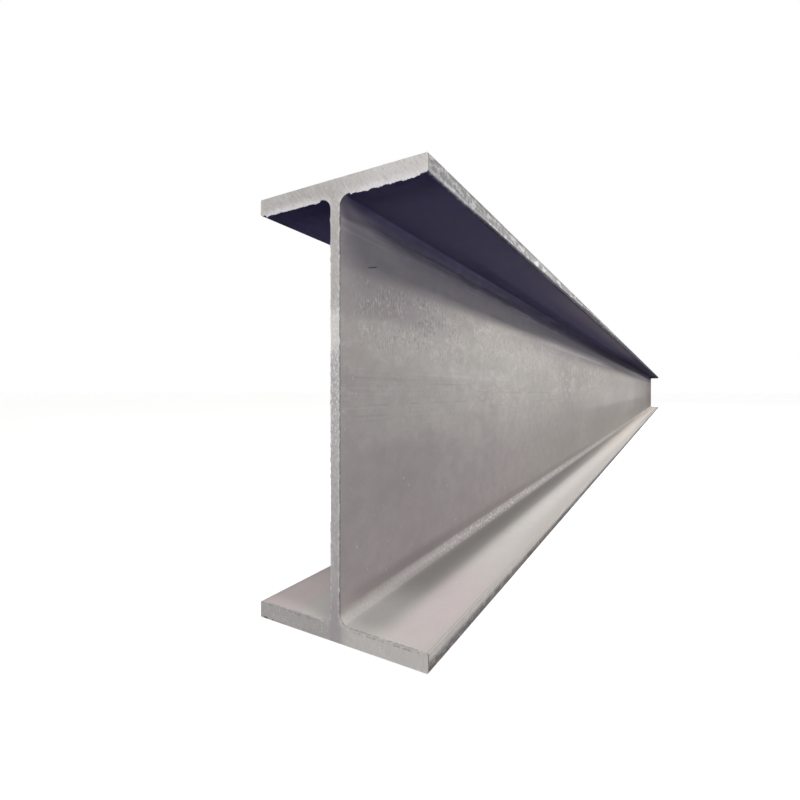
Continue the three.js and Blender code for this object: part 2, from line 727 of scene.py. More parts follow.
@dataclass(frozen=True)
class RolledEdge(SteelFinish):
    """The flange edge as the edging rolls leave it, scuffed in handling.

    The scale is broken there, so the eye sees a coarse grey and white mottle. Painted shade
    darkens the lower part of the top edge, the top edge further along and the bottom edge's turn
    onto the seat; painted light pales the bottom edge's upper part and the top edge's turn near
    the cut.
    """

    name: str = "scuffed_flange_edge"
    roughness: float = 0.8
    gloss: float = 0.02
    bump: float = 0.5
    bump_depth: float = 0.4 * MM
    # Tones that more than one layer has
    pale: str = "CFCFD0"
    bright: str = "F0F0F4"
    dark: str = "474745"
    shade: str = "5C5A5B"
    # Patterns. Real scuffs are hair-fine, so the finest ones are drawn at 2 to 3 mm to show.
    mottle: Grain = Grain(6, (2.0, 1, 1), 6, 0.68, (0.46, 0.62))
    grit: Grain = Grain(2.6, (1.6, 1, 1), 4, 0.62, (0.50, 0.64))
    stains: Grain = Grain(90, (2.0, 1, 1), 3, 0.6, (0.42, 0.60))
    scuffs: Grain = Grain(6.5, (5.5, 1, 1), 3, 0.6, (0.52, 0.62))
    soil: Grain = Grain(7, (5, 1, 1), 3, 0.6, (0.53, 0.62))
    # Heights half-way up, above which is the top edge and below which is the bottom edge
    top_from: Range = (0.2, 0.21)
    bottom_to: Range = (0.21, 0.2)
    # Heights over which painted light pales the bottom edge upwards, over which painted shade
    # darkens it where it turns in and comes level, and over which the top edge's brow darkens
    painted_light_from: Range = (5 * MM, 12 * MM)
    rim_from: Range = (13.4 * MM, 14.6 * MM)
    crest_from: Range = (15 * MM, 15.8 * MM)
    brow_from: Range = (408.5 * MM, 411 * MM)
    # Height at the cut of the painted shade on the lower part of the top edge, how far it comes
    # down in a metre, and how much further over a short stretch
    lip_from: Range = (399.475 * MM, 397.475 * MM)
    lip_climb: float = 5.5 * MM
    lip_bulge: float = 3.7 * MM
    # Over these heights the top edge turns in to the underside, where that painted shade is
    # lighter
    toe_from: Range = (397.4 * MM, 399 * MM)
    # Near the end a painted highlight lies on that turn: heights where it starts and stops
    toe_highlight: tuple[float, ...] = (397.2 * MM, 398.3 * MM, 402 * MM, 399.6 * MM)

    def lip(self) -> Mask:
        """Gives the painted shade on the lower part of the top edge.

        Returns:
            The mask, which reaches higher further along and over a short stretch.
        """
        climbed = Pushed(HEIGHT, ALONG, -self.lip_climb)
        climbed = Pushed(climbed, ALONG.over(0.7, 0.95, 1.25, 1.05), -self.lip_bulge)
        lip = climbed.over(*self.lip_from) & HEIGHT.over(*self.top_from)
        return lip & ALONG.over(0.06, 0.15) & HEIGHT.over(*self.toe_from, ends=(0.75, 1))

    def relief(self) -> Mask:
        """Gives the mottle, whose pale places stand proud."""
        return self.mottle

    def layers(self) -> Layer:
        """Colours the edges of all four flange tips.

        Returns:
            The plain tone with the dirt, the scuffs and the shade on it.
        """
        on_top, on_bottom = HEIGHT.over(*self.top_from), HEIGHT.over(*self.bottom_to)
        scuffed = self.scuffs & ALONG.over(0.15, 0.35, 1.35, 0.75) & on_top
        painted_light_low = HEIGHT.over(*self.painted_light_from) & on_bottom & ALONG.over(2.0, 2.55, ends=(1, 0.6))
        brow = HEIGHT.over(*self.brow_from) & ALONG.over(0.01, 0.11, ends=(0.2, 1))
        painted_toe_highlight = HEIGHT.over(*self.toe_highlight) & ALONG.over(0.40, 0.15) & self.lip().over(1, 0)
        painted_toe_highlight &= self.mottle.over(0, 1, ends=(0.6, 1))
        own = (
            Layer("mottle", self.pale, 0.68, self.mottle),
            Layer("grit", self.dark, 0.4, self.grit),
            Layer("stains", self.shade, 0.5, self.stains & ALONG.over(0.25, 0.55)),
            Layer("bare", self.pale, 0.1, ALONG.over(0.25, 0.37, 0.8, 0.6) & on_top),
            Layer("scuffs", self.bright, 0.42, scuffed),
            Layer("soil", self.dark, 0.35, self.soil & ALONG.over(0.15, 0.35)),
            # Painted shade: the top edge darker further along
            Layer("far top edge", self.shade, 0.6, ALONG.over(0.55, 1.95) & on_top),
            Layer("dust", "9A8C74", 0.3, on_bottom & ALONG.over(1.15, 0.55)),
            # Painted light pales the upper part of the bottom edge; painted shade darkens its turn
            # onto the seat
            Layer("painted_light_low", "D2CFCA", 0.9, painted_light_low),
            Layer("rim", "97938E", 0.85, HEIGHT.over(*self.rim_from) & on_bottom),
            Layer("crest", "827F7B", 0.85, HEIGHT.over(*self.crest_from) & on_bottom),
            Layer("brow", self.shade, 0.7, brow),
            # Painted shade along the lower part of the top edge
            Layer("lip", "403E45", 0.95, self.lip()),
            # Painted highlight on the turn of the top edge near the cut
            Layer("painted highlight on the toe", self.bright, 0.5, painted_toe_highlight),
        )
        return Layer("edge", "8A8A89", own=own)


@dataclass(frozen=True)
class SawnSteel(SteelFinish):
    """Bare steel as the mill's circular saw leaves it.

    The blade's teeth score fine arcs across the cut, all struck from the blade's centre, and the
    torn rim shines where the steel has just been pulled over: bright bare steel, brightened more
    by a painted highlight. A painted bright band and painted glints lie on the web's cut.
    """

    name: str = "saw_cut_steel"
    roughness: float = 0.55
    gloss: float = 0.35
    bump: float = 0.25
    bump_depth: float = 0.1 * MM
    # Tones that more than one layer has
    bright: str = "E2E0DC"
    dull: str = "9D9B97"
    torn: str = "F2F1F3"
    # Centre of the saw blade, across the beam and up
    blade_centre: tuple[float, float] = (0.5, 0.0)
    # Patterns. A tooth's own mark is finer than a millimetre, so it is drawn at 1.5 to 2 mm.
    strokes: Grain = Grain(2.1, (1, 8, 1), 3, 0.6, (0.46, 0.64), ROUND_BLADE)
    scores: Grain = Grain(1.5, (1, 10, 1), 3, 0.6, (0.5, 0.66), ROUND_BLADE)
    blotch: Grain = Grain(22, (1, 1, 1), 4, 0.55, (0.38, 0.66))
    fleck: Grain = Grain(2.2, (1, 1, 1), 2, 0.5, (0.62, 0.70))
    glints: Grain = Grain(1.8, (1, 1, 1.5), 3, 0.6, (0.50, 0.62))
    chips: Grain = Grain(5, (1, 1, 1), 2, 0.5, (0.50, 0.54))
    breaks: Grain = Grain(3, (1, 1.8, 1), 3, 0.6, (0.48, 0.56))
    # Heights of the dark marks on the low corner and of the painted shadow under the burr at the
    # bottom flange's top
    low_dark_marks: Range = (2.4 * MM, 1.0 * MM)
    burr_shadow_line: tuple[float, ...] = (13.2 * MM, 13.8 * MM, 15.4 * MM, 14.8 * MM)

    def clear(self) -> Mask:
        """Gives the part of the cut where the saw's marks are clear, above its foot."""
        return HEIGHT.over(0.015, 0.04, ends=(0.5, 1))

    def relief(self) -> Mask:
        """Gives the saw's strokes."""
        return self.strokes & self.clear()

    def layers(self) -> Layer:
        """Colours the cut face.

        Returns:
            The plain tone with the saw's marks, the dull corner and the torn rim on it.
        """
        stem = OFF_WEB.over(0.009, 0.004)
        painted_highlight_band = stem & HEIGHT.over(0.252, 0.27, 0.304, 0.288)
        glints = self.glints & (stem & HEIGHT.over(0.08, 0.262, 0.31, 0.288))
        low_corner = self.chips & (HEIGHT.over(*self.low_dark_marks) & ACROSS.over(0.055, 0.07))
        under = self.breaks & (HEIGHT.over(*self.burr_shadow_line) & OFF_WEB.over(0.016, 0.022))
        own = (
            Layer("blotches", self.dull, 0.3, self.blotch),
            Layer("fresh", self.bright, 0.6, ACROSS.over(0.03, -0.07) & HEIGHT.over(0.02, 0.39)),
            Layer("stale", self.dull, 0.35, ACROSS.over(-0.02, 0.02) & HEIGHT.over(0.05, 0.02)),
            Layer("heel", "D9D7CE", 0.6, ACROSS.over(0, -0.02) & HEIGHT.over(0.03, 0.018)),
            Layer("strokes", self.bright, 0.25, self.strokes & self.clear()),
            Layer("scores", self.dull, 0.4, self.scores & self.clear()),
            Layer("flecks", self.torn, 0.35, self.fleck),
            # Painted highlights on the web's cut: a bright band and glints
            Layer("painted_highlight_band", "F0EFE6", 0.62, painted_highlight_band),
            Layer("glints", self.torn, 0.75, glints),
            Layer("foot", "A8A1A2", 0.8, HEIGHT.over(0.085, 0.02) & stem),
            # Bare torn steel, with a painted highlight where the fin catches the light
            Layer("torn rim", self.torn, 0.6, TORN),
            Layer("chips", "2E2C2E", 0.9, low_corner),
            # Painted shadow under the burr at the top of the bottom flange's cut
            Layer("painted shadow under the burr", "6E6A68", 0.42, under),
        )
        return Layer("cut", "BCBAB6", own=own)


@dataclass(frozen=True)
class SingedScale(SteelFinish):
    """The narrow band of scale beside the cut, blued and dirtied by the hot saw.

    It draws a thin dark line between the bright cut and the rolled skin.
    """

    name: str = "saw_singed_scale"
    roughness: float = 0.6
    gloss: float = 0.2
    breaks: Grain = Grain(4, (1, 1, 1), 3, 0.6, (0.42, 0.60))

    def layers(self) -> Layer:
        """Colours the band: dark, with paler breaks."""
        return Layer("singed", "6B6966", own=(Layer("breaks", "96938F", 0.8, self.breaks),))


@dataclass
class Outline:
    """Points round the rolled section, anticlockwise seen from the far end."""

    points: np.ndarray
    normals: np.ndarray
    zones: np.ndarray

    def split(self, plain: float, torn: float) -> tuple[Outline, np.ndarray]:
        """Divides each chord into equal parts, finer where the saw tears the edge.

        Args:
            plain: the longest part elsewhere, in metres.
            torn: the longest part under the top flange, in metres.

        Returns:
            The finer outline, and the index in it of each point of this one.
        """
        points, normals, zones, kept = [], [], [], []
        count = len(self.points)
        for here in range(count):
            there = (here + 1) % count
            chord = self.points[there] - self.points[here]
            most = torn if self.zones[here] == Zone.UNDERSIDE else plain
            parts = max(1, math.ceil(float(np.hypot(*chord)) / most))
            kept.append(len(points))
            for part in range(parts):
                share = part / parts
                points.append(self.points[here] + chord * share)
                normal = self.normals[here] * (1 - share) + self.normals[there] * share
                normals.append(normal / np.hypot(*normal))
                zones.append(self.zones[here])
        return Outline(np.array(points), np.array(normals), np.array(zones)), np.array(kept)


@dataclass
class RolledSection:
    """The beam's section, with parallel flanges, root fillets and rounded flange edges."""

    depth: float
    width: float
    web: float = 9.5 * MM
    flange: float = 16 * MM
    root: float = 10.2 * MM
    inner_toe: float = 2.0 * MM
    outer_toe: float = 0.8 * MM
    # How far the flange edges bow out, and how far inside the true section the skin is drawn
    crown: float = 0.3 * MM
    inset: float = 0.2 * MM
    # Longest chord of a flat, and the number of chords in each quarter arc
    flat_step: float = 9 * MM
    arc_parts: int = 6

    def outline(self) -> Outline:
        """Walks round the section.

        Returns:
            The outline, drawn just inside the true section by the inset on its outer faces.
        """
        half = self.width / 2 - self.inset
        low, high = self.inset, self.depth - self.inset
        seat, ceiling = self.flange, self.depth - self.flange
        web, root = self.web / 2, self.root
        inner, outer = self.inner_toe, self.outer_toe
        # Each corner: centre (y, z), radius, first quarter, direction of turn, its zone, and
        # the zone of the flat that follows it.
        corners = [
            (half - outer, low + outer, outer, 3, 1, Zone.TIP, Zone.TIP),
            (half - inner, seat - inner, inner, 0, 1, Zone.TIP, Zone.SEAT),
            (web + root, seat + root, root, 3, -1, Zone.ROOT, Zone.WEB),
            (web + root, ceiling - root, root, 2, -1, Zone.ROOT, Zone.UNDERSIDE),
            (half - inner, ceiling + inner, inner, 3, 1, Zone.TIP, Zone.TIP),
            (half - outer, high - outer, outer, 0, 1, Zone.TIP, Zone.TOP),
            (-half + outer, high - outer, outer, 1, 1, Zone.TIP, Zone.TIP),
            (-half + inner, ceiling + inner, inner, 2, 1, Zone.TIP, Zone.UNDERSIDE),
            (-web - root, ceiling - root, root, 1, -1, Zone.ROOT, Zone.WEB),
            (-web - root, seat + root, root, 0, -1, Zone.ROOT, Zone.SEAT),
            (-half + inner, seat - inner, inner, 1, 1, Zone.TIP, Zone.TIP),
            (-half + outer, low + outer, outer, 2, 1, Zone.TIP, Zone.BOTTOM),
        ]
        points, normals, zones = [], [], []
        for number, corner in enumerate(corners):
            y, z, radius, quarter, turn, zone, next_zone = corner
            for part in range(self.arc_parts + 1):
                angle = (quarter + turn * part / self.arc_parts) * math.pi / 2
                spoke = np.array([math.cos(angle), math.sin(angle)])
                points.append(np.array([y, z]) + radius * spoke)
                normals.append(turn * spoke)
                zones.append(zone if part < self.arc_parts else next_zone)
            ny, nz, n_radius, n_quarter, *_ = corners[(number + 1) % len(corners)]
            n_angle = n_quarter * math.pi / 2
            target = np.array([ny, nz]) + n_radius * np.array(
                [math.cos(n_angle), math.sin(n_angle)]
            )
            start, normal = points[-1], normals[-1]
            steps = max(1, round(float(np.hypot(*(target - start))) / self.flat_step))
            for step in range(1, steps):
                points.append(start + (target - start) * step / steps)
                normals.append(normal)
                zones.append(next_zone)
        return Outline(
            np.array([self.crowned(point, half) for point in points]),
            np.array(normals),
            np.array(zones),
        )

    def crowned(self, point: np.ndarray, half: float) -> np.ndarray:
        """Bows the flange edge out, as the edging rolls leave it.

        Args:
            point: a point (y, z) of the straight-edged outline.
            half: half the outline's width.

        Returns:
            The point, moved in if it is on a flange edge away from the edge's middle.
        """
        y, z = point
        past_toe = 1.01
        if abs(y) < half - self.inner_toe * past_toe:
            return point
        middle = self.flange / 2
        if z > self.depth / 2:
            middle = self.depth - middle
        share = (z - middle) / (self.flange / 2)
        return np.array([y - math.copysign(self.crown * share**2, y), z])


@dataclass
class Burr:
    """The torn fin of steel that the saw pulls over the edges of the cut."""

    # How far it hangs from the top flange, the depth and pitch of its teeth there, and how far
    # the nibs on the web and on the bottom flange stand off
    hang: float = 1.0 * MM
    tooth_depth: float = 1.5 * MM
    tooth_pitch: float = 3.6 * MM
    web_nib: float = 0.7 * MM
    seat_nib: float = 0.35 * MM
    # The fin starts this far past the root fillet and breaks off this far from the flange
    # edge, and it grows and ends over these lengths
    starts: float = 0.6 * MM
    breaks_off: float = 7.0 * MM
    grows: float = 1.5 * MM
    ends: float = 0.9 * MM
    # Spacing of the nibs up and across the web and on the seat, and how bare the web between
    # them is
    web_nib_size: float = 5 * MM
    web_nib_wide: float = 20 * MM
    web_nib_gain: float = 1.8
    web_nib_gap: float = 0.1
    seat_nib_size: float = 4 * MM
    # Under the top flange, over what length and how far the hang drifts, the teeth are out of
    # step and their depth is uneven
    drift_size: float = 24 * MM
    drift: float = 0.5
    jitter_size: float = 7 * MM
    jitter: float = 0.9
    uneven_size: float = 6 * MM
    uneven: float = 1.1
    # Mean and least depth of a tooth as a share of the deepest, and how blunt its tip is
    mean_tooth: float = 0.6
    least_tooth: float = 0.15
    bluntness: float = 0.6

    def height(self, outline: Outline, end: End, section: RolledSection) -> np.ndarray:
        """Works out how far the fin stands off each point of the outline.

        Args:
            outline: the finely divided outline at the cut.
            end: which end is cut.
            section: the section that was cut.

        Returns:
            A length for each point, never below 0.
        """
        root_edge = section.web / 2 + section.root + self.starts
        tip_edge = section.width / 2 - self.breaks_off
        heights = np.zeros(len(outline.points))
        for index, (point, zone) in enumerate(zip(outline.points, outline.zones)):
            y, z = point
            if zone == Zone.UNDERSIDE:
                inner = np.clip((abs(y) - root_edge) / self.grows, 0, 1)
                outer = np.clip((tip_edge - abs(y)) / self.ends, 0, 1)
                heights[index] = self.torn(y, end) * inner * outer
            elif zone == Zone.WEB:
                spot = Vector((y / self.web_nib_wide, z / self.web_nib_size, end.value))
                lump = noise.noise(spot)
                lump = self.web_nib_gain * lump - self.web_nib_gap
                heights[index] = self.web_nib * max(0.0, lump)
            elif zone == Zone.SEAT:
                lump = noise.noise(Vector((y / self.seat_nib_size, 3.0, end.value)))
                heights[index] = self.seat_nib * (0.5 + 0.5 * lump)
        return heights

    def torn(self, y: float, end: End) -> float:
        """How far the torn edge hangs at a place across the flange.

        Args:
            y: the place, in metres.
            end: which end is cut.

        Returns:
            A length, of ragged lobes with sharp notches between them.
        """
        drift = self.drift * noise.noise(Vector((y / self.drift_size, 1.0, end.value)))
        jitter = self.jitter * noise.noise(Vector((y / self.jitter_size, 5.0, end.value)))
        uneven = self.uneven * noise.noise(Vector((y / self.uneven_size, 9.0, end.value)))
        lobe = abs(math.sin(math.pi * (y / self.tooth_pitch + jitter))) ** self.bluntness
        share = min(1.0, max(self.least_tooth, self.mean_tooth + uneven))
        return self.hang * (1 + drift) + self.tooth_depth * lobe * share


@dataclass
class RolledBeam:
    """The whole beam: its section swept along its length, and the two saw-cut ends."""

    low: Vector
    high: Vector
    burr: Burr = field(default_factory=Burr)
    # Depth of the rolled waviness, and how fast its waves and its ripples come along the beam
    # and round the section, in waves a metre
    waviness: float = 0.22 * MM
    waves: tuple[float, float] = (2.1, 9.0)
    ripples: tuple[float, float] = (14.0, 21.0)
    ripple_share: float = 0.25
    # Spacing of the skin's rings at the near end, at most, and how fast it grows
    first_step: float = 8 * MM
    last_step: float = 40 * MM
    step_growth: float = 0.022
    # Spacing of points round the cut, plain and torn, and across it
    fine_step: float = 1.2 * MM
    torn_step: float = 0.5 * MM
    cap_step: float = 2.2 * MM
    cap_clear: float = 1.3 * MM
    # How far the cuts stay inside the beam's length, and the skin's rings inside the fin
    end_inset: float = 0.4 * MM
    past_fin: float = 3 * MM
    # Depth and size of the unevenness of the cut, and how far up the saw pulled bright steel
    cap_relief: float = 0.12 * MM
    cap_relief_size: float = 14 * MM
    pulled_band: float = 5.5 * MM
    pulled_size: float = 6 * MM
    pulled_mean: float = 0.75
    pulled_swing: float = 0.9
    # Size of the bright flecks on the torn rim, and how much they show
    fleck_size: float = 4 * MM
    fleck_share: float = 0.8
    # Edges turned by more than this look sharp
    sharp_from: float = math.radians(32)
    # Distance behind the cut of each ring of the fin, and how much of the fin it keeps
    fin: tuple[tuple[float, float], ...] = (
        (0.0, 1.0),
        (0.4 * MM, 0.8),
        (1.0 * MM, 0.3),
        (1.8 * MM, 0.0),
    )

    def __post_init__(self) -> None:
        """Draws the outlines that both the skin and the ends use."""
        self.section = RolledSection(
            depth=self.high.z - self.low.z, width=self.high.y - self.low.y
        )
        self.coarse = self.section.outline()
        self.fine, self.kept = self.coarse.split(self.fine_step, self.torn_step)
        self.vertices: list[np.ndarray] = []
        self.faces: list[tuple[int, ...]] = []
        self.finishes: list[int] = []
        self.torn: list[np.ndarray] = []
        self.count = 0

    def stations(self) -> np.ndarray:
        """Spaces the rings of the skin, closer near the near end.

        Returns:
            Their places along the length.
        """
        margin = self.end_inset + self.fin[-1][0] + self.past_fin
        start, stop = self.low.x + margin, self.high.x - margin
        shortest_last = 0.7
        places, here, step = [], start, self.first_step
        while here < stop - shortest_last * step:
            places.append(here)
            step = min(self.last_step, self.first_step + self.step_growth * (here - start))
            here += step
        places.append(stop)
        return np.array(places)

    def wave(self, x: float, outline: Outline) -> np.ndarray:
        """Waviness that the rolls leave, as an offset along each point's normal.

        Args:
            x: place along the length.
            outline: the outline there.

        Returns:
            One offset for each point, at most half of which stands proud of the inset outline.
        """
        offsets = np.zeros(len(outline.points))
        kinds = ((self.waves, 1 - self.ripple_share), (self.ripples, self.ripple_share))
        for index, (y, z) in enumerate(outline.points):
            for (along, round_it), share in kinds:
                spot = Vector((x * along, y * round_it, z * round_it))
                offsets[index] += share * noise.noise(spot)
        return offsets * self.waviness

    def add_ring(
        self, x: float, outline: Outline, offsets: np.ndarray, torn: np.ndarray | float = 0.0
    ) -> int:
        """Adds one ring of vertices.

        Args:
            x: place along the length.
            outline: the outline there.
            offsets: how far each point stands off the outline.
            torn: how bright the torn rim is at each point.

        Returns:
            The index of the ring's first vertex.
        """
        first = self.count
        flat = outline.points + outline.normals * offsets[:, None]
        self.vertices.append(np.column_stack([np.full(len(flat), x), flat]))
        self.torn.append(np.full(len(flat), torn))
        self.count += len(flat)
        return first

    def add_face(self, corners: tuple[int, ...], finish: int) -> None:
        """Adds one face with its finish."""
        self.faces.append(corners)
        self.finishes.append(finish)

    @staticmethod
    def rolled_finish(zone: int) -> Finish:
        """Gives the finish that the rolls leave on a zone."""
        return Finish.EDGE if zone == Zone.TIP else Finish.SCALE

    def join(self, a: int, b: int, outline: Outline, finish: Finish | None = None) -> None:
        """Joins two rings of the same outline.

        Args:
            a: first vertex of the ring nearer the near end.
            b: first vertex of the other ring.
            outline: the outline of both.
            finish: the finish of the faces, or None for each zone's own.
        """
        count = len(outline.points)
        for here in range(count):
            there = (here + 1) % count
            face = (a + here, a + there, b + there, b + here)
            own = self.rolled_finish(outline.zones[here])
            self.add_face(face, own if finish is None else finish)

    def join_fine(self, fine: int, coarse: int, end: End) -> None:
        """Joins a fine ring to a coarse one with one many-sided face to each coarse chord.

        Args:
            fine: first vertex of the fine ring.
            coarse: first vertex of the coarse ring.
            end: which end they are at.
        """
        count, total = len(self.coarse.points), len(self.fine.points)
        for here in range(count):
            there = (here + 1) % count
            stop = self.kept[there] if there else total
            chain = [fine + k % total for k in range(self.kept[here], stop + 1)]
            face = (*chain, coarse + there, coarse + here)
            own = self.rolled_finish(self.coarse.zones[here])
            self.add_face(face if end is End.NEAR else face[::-1], own)

    def build_skin(self) -> None:
        """Sweeps the outline along the length and closes both ends."""
        places = self.stations()
        rings = [self.add_ring(x, self.coarse, self.wave(x, self.coarse)) for x in places]
        for near, far in zip(rings, rings[1:]):
            self.join(near, far, self.coarse)
        self.build_end(End.NEAR, rings[0], places[0])
        self.build_end(End.FAR, rings[-1], places[-1])

    def build_end(self, end: End, last_ring: int, last_x: float) -> None:
        """Adds the fin and the cut face of one end.

        Args:
            end: which end.
            last_ring: first vertex of the skin's last ring on that side.
            last_x: where that ring is.
        """
        cut = self.low.x if end is End.NEAR else self.high.x
        cut -= end.value * self.end_inset
        lip = self.burr.height(self.fine, end, self.section)
        wave = self.wave(last_x, self.fine)
        rings = []
        for behind, share in self.fin:
            x = cut - end.value * behind
            rings.append(self.add_ring(x, self.fine, wave + lip * share, self.shine(lip)))
        for outer, inner in zip(rings, rings[1:]):
            pair = (outer, inner) if end is End.NEAR else (inner, outer)
            self.join(*pair, self.fine, Finish.SINGED)
        self.join_fine(rings[-1], last_ring, end)
        self.build_cut(end, rings[0], cut)

    def shine(self, lip: np.ndarray) -> np.ndarray:
        """How bright the rim of the cut is at each point of the fine outline.

        Args:
            lip: how far the fin stands off each point.

        Returns:
            A share for each point, from 0 to 1.
        """
        steady = {
            Zone.UNDERSIDE: 0.35,
            Zone.WEB: 0.35,
            Zone.ROOT: 0.4,
            Zone.TIP: 0.35,
            Zone.TOP: 0.15,
        }
        flecked_from, full_lip = 0.3, 2 * MM
        shares = np.array([steady.get(Zone(zone), 0.0) for zone in self.fine.zones])
        upper = self.fine.points[:, 1] > self.section.flange
        flecks = np.array(
            [noise.noise(Vector((*point, 0.0)) / self.fleck_size) for point in self.fine.points]
        )
        shares[(self.fine.zones == Zone.TIP) & ~upper] = 0.0
        flecks *= self.fleck_share * (shares > flecked_from)
        return np.clip(shares + upper * (lip / full_lip + flecks), 0, 1)

    def build_cut(self, end: End, ring: int, cut: float) -> None:
        """Fills one end with a face of small triangles that carries the saw's relief.

        Args:
            end: which end.
            ring: first vertex of the ring round the cut.
            cut: where the cut is along the length.
        """
        rim = np.concatenate(self.vertices)[ring : ring + len(self.fine.points), 1:]
        spots = [Vector(spot) for spot in np.concatenate([rim, self.grid_inside()])]
        rim_face = list(range(len(rim)))
        inside_only, closest = 1, 1e-7
        made = delaunay_2d_cdt(spots, [], [rim_face], inside_only, closest)
        points, faces, origins = made[0], made[2], made[3]
        index_of = {}
        fresh = []
        for number, point in enumerate(points):
            source = origins[number][0] if origins[number] else None
            if source is not None and source < len(rim):
                index_of[number] = ring + source
            else:
                spot = Vector((*point, 0.3)) / self.cap_relief_size
                relief = self.cap_relief * noise.noise(spot)
                index_of[number] = self.count + len(fresh)
                fresh.append((cut - end.value * abs(relief), point[0], point[1]))
        self.vertices.append(np.array(fresh))
        self.torn.append(self.pulled(np.array(fresh)))
        self.count += len(fresh)
        for face in faces:
            corners = tuple(index_of[k] for k in face)
            self.add_face(corners if end is End.FAR else corners[::-1], Finish.SAWN)

    def pulled(self, points: np.ndarray) -> np.ndarray:
        """How bright the steel is that the saw pulled down towards the torn edges.

        Args:
            points: points (x, y, z) inside the cut.

        Returns:
            A share for each point, from 0 to 1.
        """
        up = points[:, 2] - (self.section.depth - self.section.flange)
        off_web = np.abs(points[:, 1]) - self.section.web / 2 - self.section.root / 2
        near = np.clip(1 - up / self.pulled_band, 0, 1) * (up > 0) * (off_web > 0)
        uneven = [noise.noise(Vector(point) / self.pulled_size) for point in points]
        return np.clip(near * (self.pulled_mean + self.pulled_swing * np.array(uneven)), 0, 1)

    def grid_inside(self) -> np.ndarray:
        """Spreads points over the section, clear of its rim.

        Returns:
            The points (y, z), off a regular grid by an uneven part of its step.
        """
        s, step, clear = self.section, self.cap_step, self.cap_clear
        uneven, swing_y, swing_z = 0.35 * step, 911, 677
        ys = np.arange(-s.width / 2, s.width / 2, step)
        zs = np.arange(0, s.depth, step)
        y, z = (axis.ravel() for axis in np.meshgrid(ys, zs))
        y = y + uneven * np.sin(z * swing_y)
        z = z + uneven * np.sin(y * swing_z)
        in_web = np.abs(y) < s.web / 2 - clear
        in_flange = (np.abs(y) < s.width / 2 - clear - s.inner_toe / 2) & (
            ((z > clear) & (z < s.flange - clear))
            | ((z > s.depth - s.flange + clear) & (z < s.depth - clear))
        )
        inside = (in_web & (z > clear) & (z < s.depth - clear)) | in_flange
        return np.column_stack([y[inside], z[inside]])

    def build(self) -> bpy.types.Object:
        """Makes the beam's object, with its finishes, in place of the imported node.

        Returns:
            The dressed beam.
        """
        self.build_skin()
        mesh = bpy.data.meshes.new("i_beam_skin")
        mesh.from_pydata(np.concatenate(self.vertices).tolist(), [], self.faces)
        mesh.polygons.foreach_set("material_index", self.finishes)
        for finish in (MillScale(), RolledEdge(), SawnSteel(), SingedScale()):
            mesh.materials.append(finish.build(self.low.x))
        torn = mesh.attributes.new(TORN_MARK, "FLOAT", "POINT")
        torn.data.foreach_set("value", np.concatenate(self.torn))
        mesh.validate()
        mesh.shade_smooth()
        mesh.set_sharp_from_angle(angle=self.sharp_from)
        piece = bpy.data.objects.new("rolled_beam", mesh)
        bpy.context.scene.collection.objects.link(piece)
        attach(piece, BODY)
        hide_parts(NODE)
        return piece


@dataclass(frozen=True)
class SoftBox:
    """A long soft lamp beside or above the beam, out of the camera's sight."""

    name: str
    # Its two ends: how far past the near cut, how far from the web towards +Y, and how high
    begins: tuple[float, float, float]
    stops: tuple[float, float, float]
    width: float
    power: float
    colour: str = "FFFDFA"

    def build(self, cut: float, aim: Vector) -> None:
        """Hangs the lamp, turned to the middle of the beam.

        Args:
            cut: the near cut's place along the length.
            aim: the middle of the beam.
        """
        first, last = (Vector(end) + Vector((cut, 0, 0)) for end in (self.begins, self.stops))
        along = (last - first).normalized()
        middle = (first + last) / 2
        away = middle - Vector((middle.x, aim.y, aim.z))
        away = (away - along * away.dot(along)).normalized()
        data = bpy.data.lights.new(self.name, "AREA")
        data.shape = "RECTANGLE"
        data.size = (last - first).length
        data.size_y = self.width
        data.energy = self.power
        data.color = linear(self.colour)[:3]
        lamp = bpy.data.objects.new(self.name, data)
        turn = Matrix((along, away.cross(along), away)).transposed().to_4x4()
        lamp.matrix_world = Matrix.Translation(middle) @ turn
        lamp.visible_camera = False
        bpy.context.scene.collection.objects.link(lamp)


SOFT_BOXES = (
    SoftBox("right_near", (-0.3, -0.39, 0.71), (0.15, -0.39, 0.71), 0.16, 0.9),
    SoftBox("right_middle", (0.15, -0.39, 0.605), (1.1, -0.39, 0.612), 0.05, 2.85),
    SoftBox("right_long", (1.1, -0.39, 0.625), (4.6, -0.39, 0.7), 0.1, 10.8),
    SoftBox("right_far", (4.6, -0.39, 0.7), (8.5, -0.39, 0.72), 0.16, 9.8),
    SoftBox("left", (-0.15, 0.39, 0.635), (8.7, 0.39, 0.635), 0.12, 22),
    SoftBox("above", (-1.5, -0.183, 1.41), (8.5, -0.363, 1.41), 0.04, 73),
)


@dataclass(frozen=True)
class Sun:
    """A far lamp that lights the whole length alike."""

    name: str
    # Direction from the beam to the lamp
    towards: tuple[float, float, float]
    # Light on a face that looks at the lamp, in watts per square metre
    strength: float
    # Its apparent size, in degrees
    spread: float
    colour: str = "FFFDFA"

    def build(self) -> None:
        """Hangs the lamp."""
        data = bpy.data.lights.new(self.name, "SUN")
        data.energy = self.strength
        data.angle = math.radians(self.spread)
        data.color = linear(self.colour)[:3]
        lamp = bpy.data.objects.new(self.name, data)
        lamp.rotation_euler = Vector(self.towards).to_track_quat("Z", "Y").to_euler()
        bpy.context.scene.collection.objects.link(lamp)


SUNS = (
    Sun("front_light", (-1.0, -0.6, 0.12), 1.73, 20),
    Sun("back_light", (1.0, 0.45, 0.4), 1.6, 25),
    Sun("side_light", (-0.1, -1.0, 0.24), 0.18, 6),
    Sun("roof_light", (-0.04, -0.11, 1.0), 0.85, 3),
    Sun("roof_front", (-0.25, -0.112, 1.0), 0.9, 10),
)


